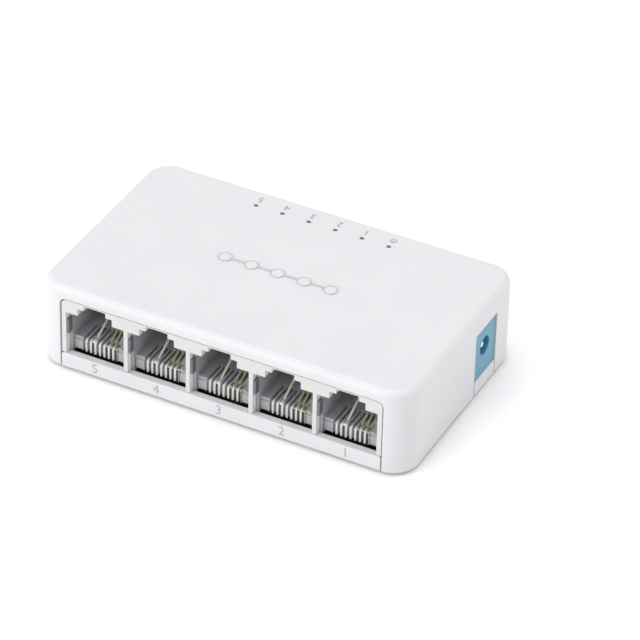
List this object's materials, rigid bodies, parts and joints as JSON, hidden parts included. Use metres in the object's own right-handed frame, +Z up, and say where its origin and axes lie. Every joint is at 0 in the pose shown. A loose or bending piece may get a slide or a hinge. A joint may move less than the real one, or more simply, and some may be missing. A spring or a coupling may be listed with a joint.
{
  "type": "desktop network switch",
  "caption": "Low white desktop network switch with a row of RJ45 ports along the front, a blue power socket in one end and indicator holes in the roof.",
  "frame": {"origin": "middle of the footprint, on the surface the feet stand on", "axes": "+X along the port row towards the power socket, -Y out of the ports, +Z up"},
  "size_m": [0.0822, 0.0498, 0.0198],
  "materials": {
    "white_shell": "fine satin moulded ABS, white",
    "white_socket": "smooth moulded white plastic",
    "dark_liner": "dark grey moulded plastic",
    "grey_comb": "light grey moulded plastic",
    "contact_gold": "gold flashed spring strip",
    "blue_socket": "blue moulded plastic",
    "tinned_metal": "tinned, softly bright",
    "steel": "nickel plated screw steel",
    "board_green": "green solder mask over woven laminate",
    "foot_rubber": "soft grey rubber",
    "label_paper": "blank printed film",
    "clear_guide": "clear acrylic",
    "lamp_body": "cream plastic with a clear lens",
    "chip_black": "black moulding compound",
    "can_aluminium": "drawn aluminium can",
    "coil_ferrite": "dark ferrite"
  },
  "bodies": {
    "casing": {"top_cover": "white_shell", "base_cover": "white_shell", "rubber_feet": "foot_rubber", "base_label": "label_paper", "case_screws": "steel", "main_board": "board_green", "port_row_frame": "white_socket", "port_liner_1": "dark_liner", "port_liner_2": "dark_liner", "port_liner_3": "dark_liner", "port_liner_4": "dark_liner", "port_liner_5": "dark_liner", "contact_comb_1": "grey_comb", "contact_comb_2": "grey_comb", "contact_comb_3": "grey_comb", "contact_comb_4": "grey_comb", "contact_comb_5": "grey_comb", "contact_leads_1": "contact_gold", "contact_leads_2": "contact_gold", "contact_leads_3": "contact_gold", "contact_leads_4": "contact_gold", "contact_leads_5": "contact_gold", "power_socket": "blue_socket", "power_pin": "tinned_metal", "power_terminals": "tinned_metal", "light_guide": "clear_guide", "indicator_lamps": "lamp_body", "switch_chip": "chip_black", "switch_chip_legs": "tinned_metal", "line_transformer_1": "chip_black", "line_transformer_2": "chip_black", "line_transformer_3": "chip_black", "transformer_legs": "tinned_metal", "clock_crystal": "can_aluminium", "power_coil": "coil_ferrite", "voltage_regulator": "chip_black", "smoothing_capacitor_1": "can_aluminium", "smoothing_capacitor_2": "can_aluminium", "chip_resistors": "chip_black"},
    "port_1_contacts": {"contact_springs_1": "contact_gold"},
    "port_2_contacts": {"contact_springs_2": "contact_gold"},
    "port_3_contacts": {"contact_springs_3": "contact_gold"},
    "port_4_contacts": {"contact_springs_4": "contact_gold"},
    "port_5_contacts": {"contact_springs_5": "contact_gold"},
    "power_leaf": {"power_spring": "tinned_metal"}
  },
  "joints": [
    {"name": "port_1_contact_flex", "type": "hinge", "parent": "casing", "child": "port_1_contacts", "pos_m": [0.02794, -0.021, 0.00705], "axis": [1, 0, 0], "range_deg": [-14, 0], "stiffness_Nm_per_rad": 0.4},
    {"name": "port_2_contact_flex", "type": "hinge", "parent": "casing", "child": "port_2_contacts", "pos_m": [0.01397, -0.021, 0.00705], "axis": [1, 0, 0], "range_deg": [-14, 0], "stiffness_Nm_per_rad": 0.4},
    {"name": "port_3_contact_flex", "type": "hinge", "parent": "casing", "child": "port_3_contacts", "pos_m": [0, -0.021, 0.00705], "axis": [1, 0, 0], "range_deg": [-14, 0], "stiffness_Nm_per_rad": 0.4},
    {"name": "port_4_contact_flex", "type": "hinge", "parent": "casing", "child": "port_4_contacts", "pos_m": [-0.01397, -0.021, 0.00705], "axis": [1, 0, 0], "range_deg": [-14, 0], "stiffness_Nm_per_rad": 0.4},
    {"name": "port_5_contact_flex", "type": "hinge", "parent": "casing", "child": "port_5_contacts", "pos_m": [-0.02794, -0.021, 0.00705], "axis": [1, 0, 0], "range_deg": [-14, 0], "stiffness_Nm_per_rad": 0.4},
    {"name": "power_leaf_flex", "type": "hinge", "parent": "casing", "child": "power_leaf", "pos_m": [0.0364, 0.0102, 0.0066], "axis": [0, 1, 0], "range_deg": [-5, 0], "stiffness_Nm_per_rad": 0.3}
  ]
}
